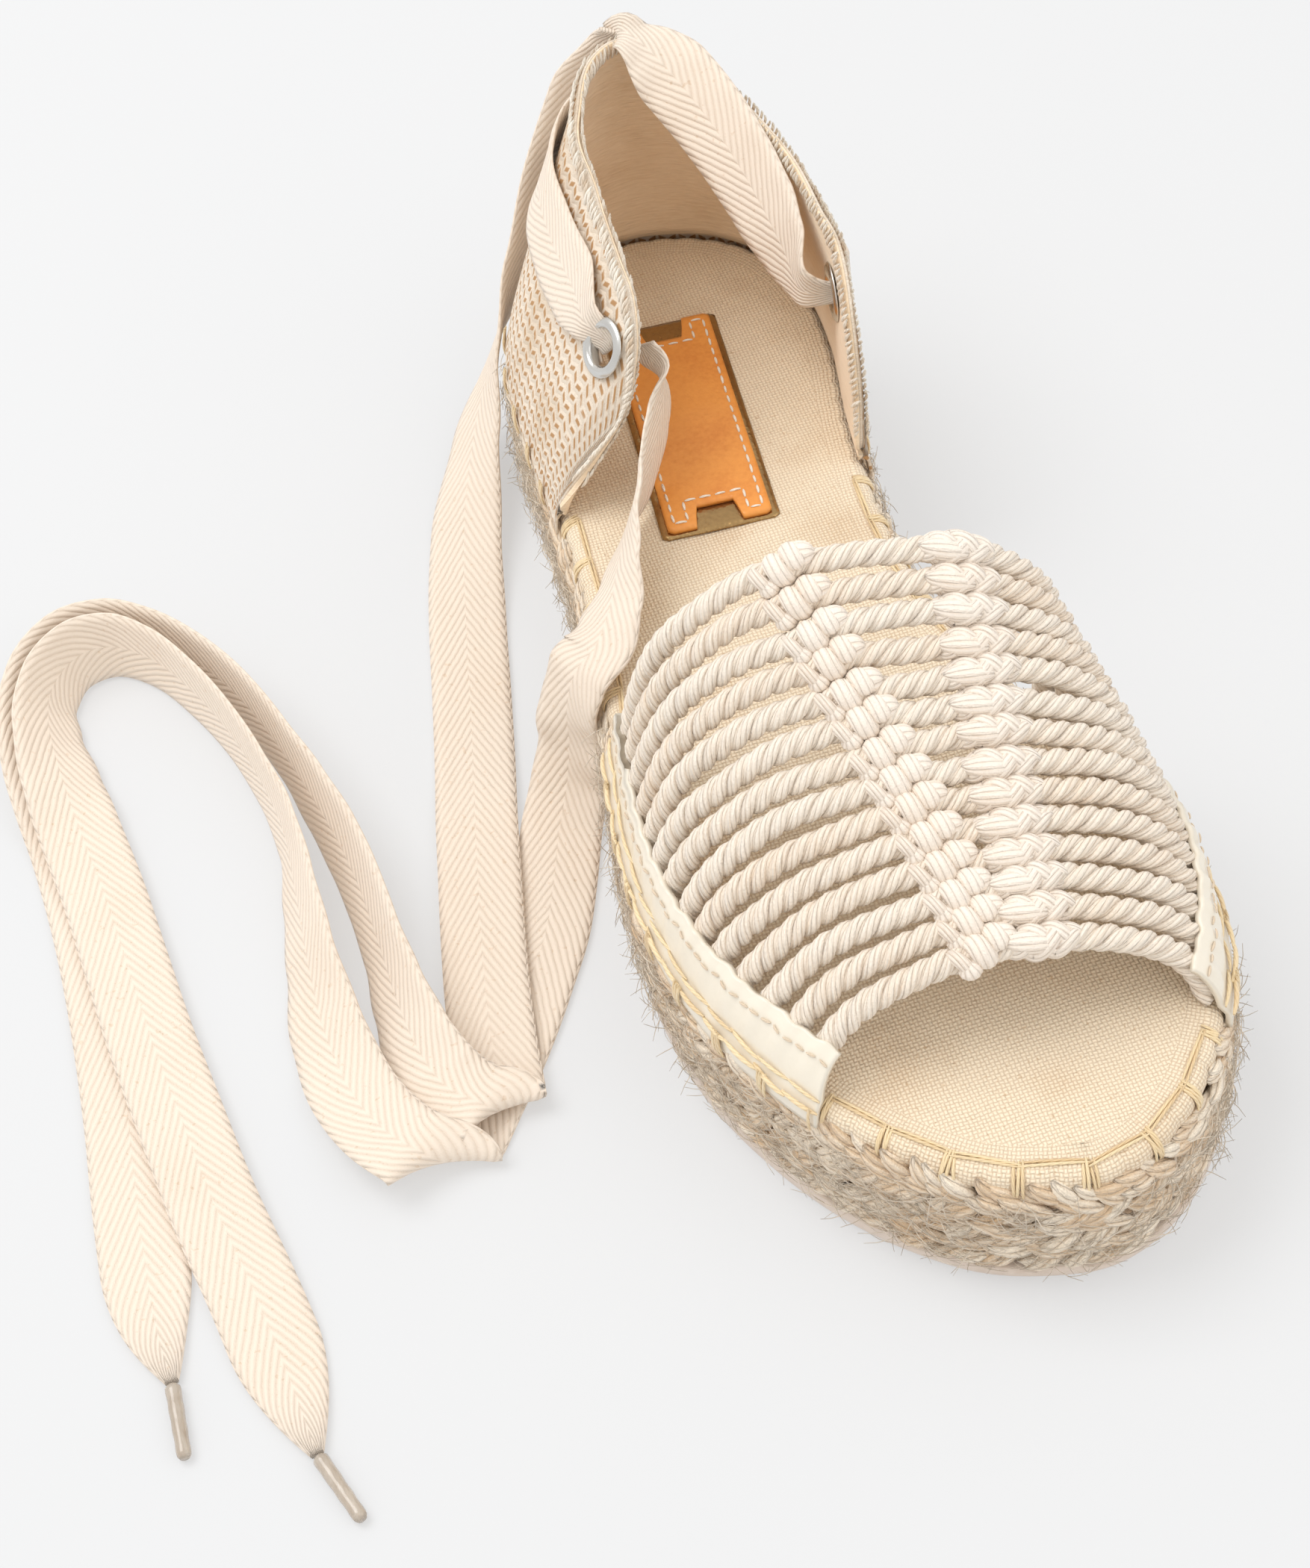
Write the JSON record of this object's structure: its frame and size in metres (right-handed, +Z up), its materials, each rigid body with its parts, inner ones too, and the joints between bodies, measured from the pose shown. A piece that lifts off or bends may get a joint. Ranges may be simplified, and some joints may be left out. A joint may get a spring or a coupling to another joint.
{
  "type": "rope sandal",
  "caption": "Right-foot rope sandal: jute-wrapped sole, canvas insole, knotted rope vamp, soft heel counter and a long cotton tie.",
  "frame": {"origin": "on the floor, under the middle of the sole's box", "axes": "+Y from toe to heel, +X to the medial side of this right shoe, +Z up"},
  "size_m": [0.2028, 0.2573, 0.0861],
  "materials": {
    "rubber": "satin, slightly translucent",
    "jute": "braided jute yarn, hairy and matt",
    "canvas": "plain-weave cotton canvas, matt",
    "foil": "foil-faced, glossy",
    "label_leather": "smooth vegetable-tanned leather",
    "cotton_rope": "woven or twisted fibre, matt",
    "binding": "coated, softly glossy",
    "knit": "two-tone knit outside, suede lining inside",
    "eyelet": "pressed, polished",
    "twill_tape": "herringbone cotton tape, matt",
    "aglet": "clear heat-shrunk film, glossy"
  },
  "bodies": {
    "root": {"outsole": "rubber", "jute_course_low": "jute", "jute_course_middle": "jute", "jute_course_high": "jute", "insole": "canvas", "label_backing": "foil", "label_leather": "label_leather", "vamp": "cotton_rope", "vamp_binding_lateral": "binding", "vamp_binding_medial": "binding", "heel_counter": "knit", "eyelet_lateral": "eyelet", "eyelet_medial": "eyelet", "tie_wrap": "twill_tape", "tie_over": "twill_tape", "tie_end_a": "twill_tape", "tie_end_b": "twill_tape", "aglet_a": "aglet", "aglet_b": "aglet"}
  },
  "joints": []
}
